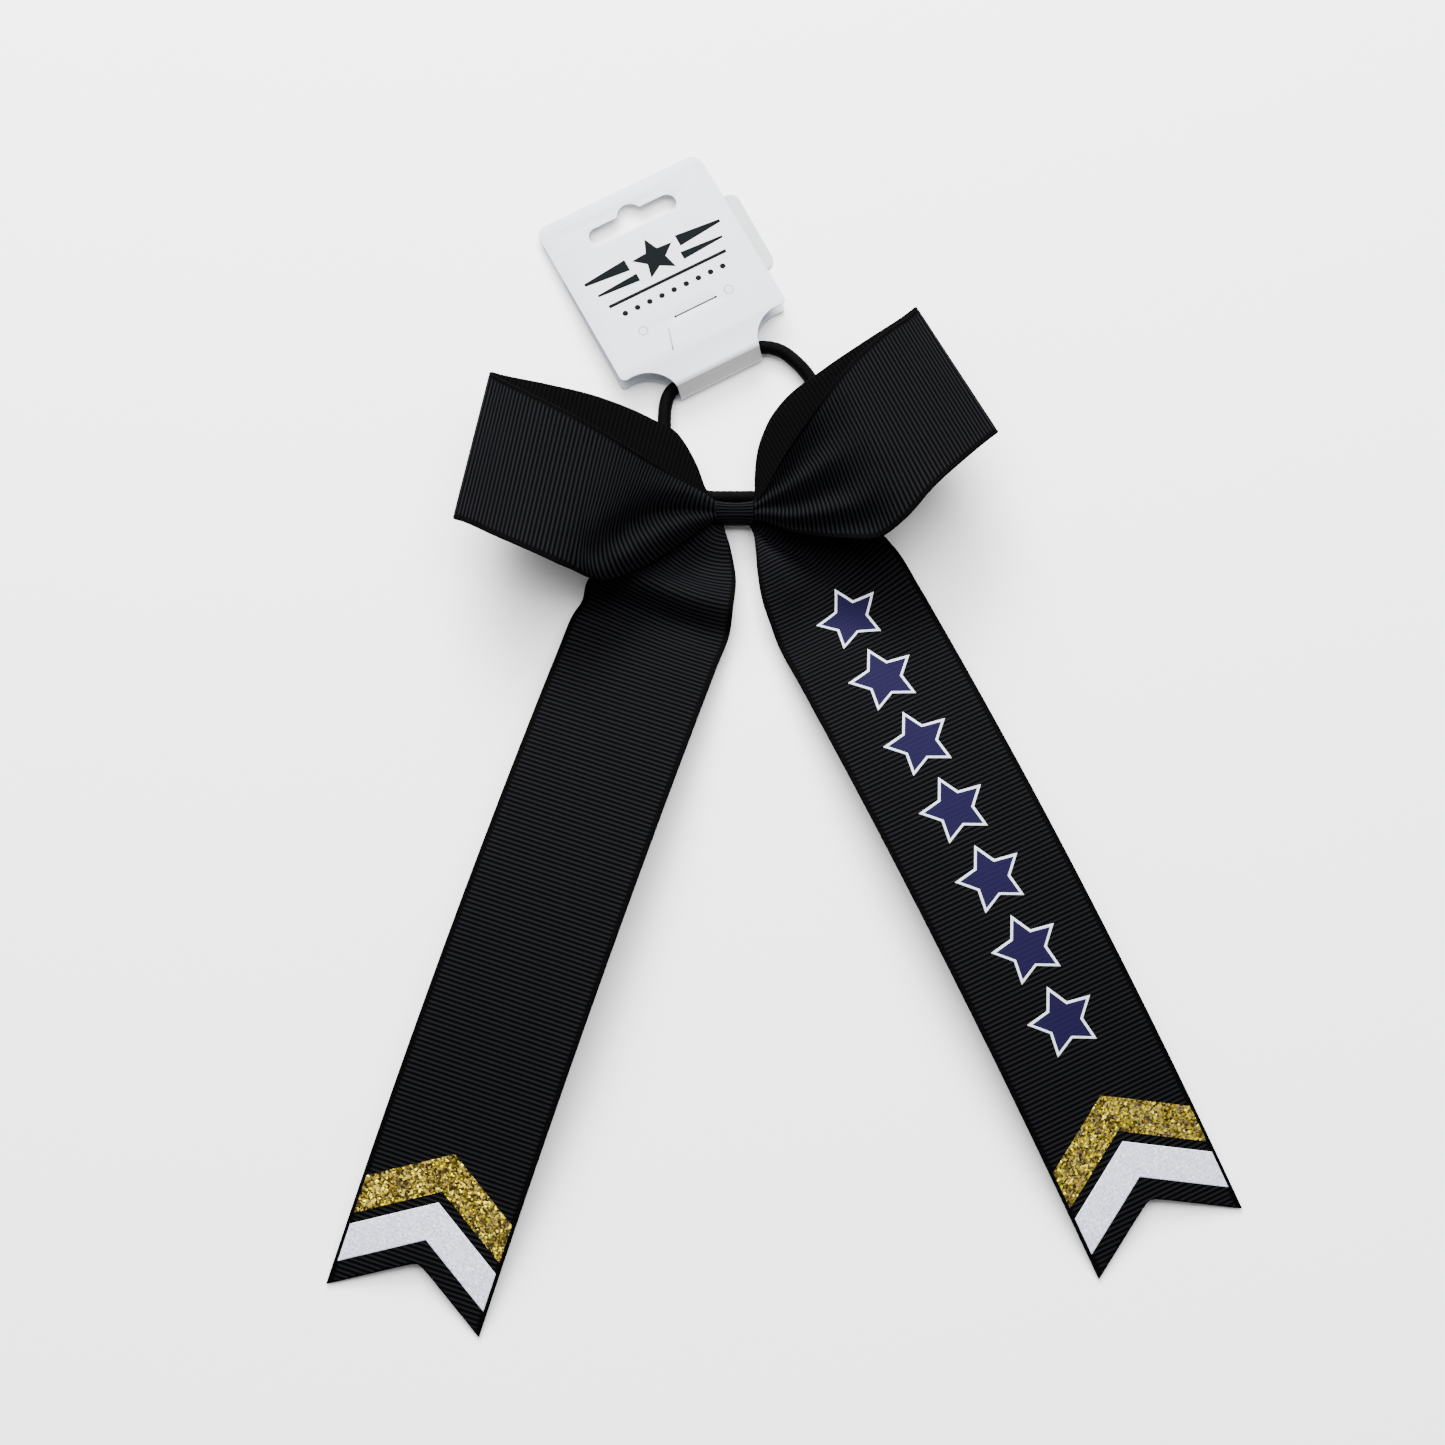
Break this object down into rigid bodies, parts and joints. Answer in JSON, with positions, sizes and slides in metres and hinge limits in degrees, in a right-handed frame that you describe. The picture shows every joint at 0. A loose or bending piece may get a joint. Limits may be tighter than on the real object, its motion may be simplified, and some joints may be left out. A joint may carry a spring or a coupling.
{
  "type": "cheer hair bow",
  "caption": "Black ribbon hair bow with standing loops, long swallow-tailed ends, glitter chevrons, stars down one tail, and a hair elastic threaded through a folded hang card.",
  "frame": {"origin": "on the flat back of the glue pad, straight behind the middle of the knot's length; it lies on the surface at z = 0 with the bow face up", "axes": "+Z out of the bow's face, +Y from the tails past the knot towards the hang card, +X to the right of someone looking at the face"},
  "size_m": [0.3228, 0.45, 0.0414],
  "materials": {
    "ribbon_black": "matte ribbed grosgrain",
    "tie_nylon": "satin nylon",
    "hot_glue": "black, slightly glossy",
    "elastic_cord": "braided, matte",
    "card_board": "satin coated board",
    "label_paper": "semi-gloss label stock",
    "glitter_gold": "coarse gold glitter",
    "glitter_white": "coarse white and silver glitter",
    "vinyl_white": "satin heat-set vinyl",
    "vinyl_navy": "fine navy glitter vinyl",
    "print_ink": "flat printed ink"
  },
  "bodies": {
    "knot": {"knot_pleats": "ribbon_black", "cable_tie": "tie_nylon", "center_wrap": "ribbon_black", "glue_pad": "hot_glue", "elastic_anchor": "elastic_cord"},
    "loop_left": {"loop_left": "ribbon_black"},
    "loop_right": {"loop_right": "ribbon_black"},
    "tail_left_root": {"tail_left_root": "ribbon_black"},
    "tail_left": {"tail_left": "ribbon_black", "chevron_gold_left": "glitter_gold", "chevron_white_left": "glitter_white"},
    "tail_right_root": {"tail_right_root": "ribbon_black", "star_white_1": "vinyl_white", "star_navy_1": "vinyl_navy"},
    "tail_right": {"tail_right": "ribbon_black", "chevron_gold_right": "glitter_gold", "chevron_white_right": "glitter_white", "star_white_2": "vinyl_white", "star_navy_2": "vinyl_navy", "star_white_3": "vinyl_white", "star_navy_3": "vinyl_navy", "star_white_4": "vinyl_white", "star_navy_4": "vinyl_navy", "star_white_5": "vinyl_white", "star_navy_5": "vinyl_navy", "star_white_6": "vinyl_white", "star_navy_6": "vinyl_navy", "star_white_7": "vinyl_white", "star_navy_7": "vinyl_navy"},
    "elastic": {"elastic_base_right": "elastic_cord", "elastic_strand_right": "elastic_cord", "elastic_strand_left": "elastic_cord", "elastic_base_left": "elastic_cord"},
    "elastic_bight": {"elastic_bight": "elastic_cord"},
    "card_back": {"card_back_flap": "card_board", "card_seal_label": "label_paper", "card_fold_strip": "card_board"},
    "card_front": {"card_front_panel": "card_board"}
  },
  "joints": [
    {"name": "loop_left_flap", "type": "hinge", "parent": "knot", "child": "loop_left", "pos_m": [-0.01, 0.001, 0.0096], "axis": [0.1882, 0.9821, 0], "range_deg": [-4, 30]},
    {"name": "loop_right_flap", "type": "hinge", "parent": "knot", "child": "loop_right", "pos_m": [0.01, 0.001, 0.0096], "axis": [0.5075, -0.8616, 0], "range_deg": [-4, 30]},
    {"name": "tail_left_sway", "type": "hinge", "parent": "knot", "child": "tail_left_root", "pos_m": [-0.008, -0.005, 0.0044], "axis": [0, 0, 1], "range_deg": [-8, 4]},
    {"name": "tail_left_fold", "type": "hinge", "parent": "tail_left_root", "child": "tail_left", "pos_m": [-0.0373, -0.062, 0.00945], "axis": [-0.9461, 0.3239, 0], "range_deg": [-20, 60]},
    {"name": "tail_right_sway", "type": "hinge", "parent": "knot", "child": "tail_right_root", "pos_m": [0.008, -0.005, 0.0044], "axis": [0, 0, 1], "range_deg": [-4, 8]},
    {"name": "tail_right_fold", "type": "hinge", "parent": "tail_right_root", "child": "tail_right", "pos_m": [0.0483, -0.0538, 0.00945], "axis": [-0.9003, -0.4352, 0], "range_deg": [-20, 60]},
    {"name": "elastic_swing", "type": "hinge", "parent": "knot", "child": "elastic", "pos_m": [0, 0.0067, 0.00365], "axis": [1, 0, 0], "range_deg": [-120, 0]},
    {"name": "elastic_stretch", "type": "slide", "parent": "elastic", "child": "elastic_bight", "axis": [0, 1, 0], "range_m": [0, 0.025], "stiffness_N_per_m": 40, "deforming": ["elastic_strand_left", "elastic_strand_right"]},
    {"name": "card_swivel", "type": "hinge", "parent": "elastic_bight", "child": "card_back", "pos_m": [-0.00719, 0.05896, 0.00365], "axis": [0.8846, 0.4664, 0], "range_deg": [0, 60]},
    {"name": "card_open", "type": "hinge", "parent": "card_back", "child": "card_front", "pos_m": [-0.00668, 0.05798, 0.01], "axis": [0.8846, 0.4664, 0], "range_deg": [0, 45]}
  ]
}
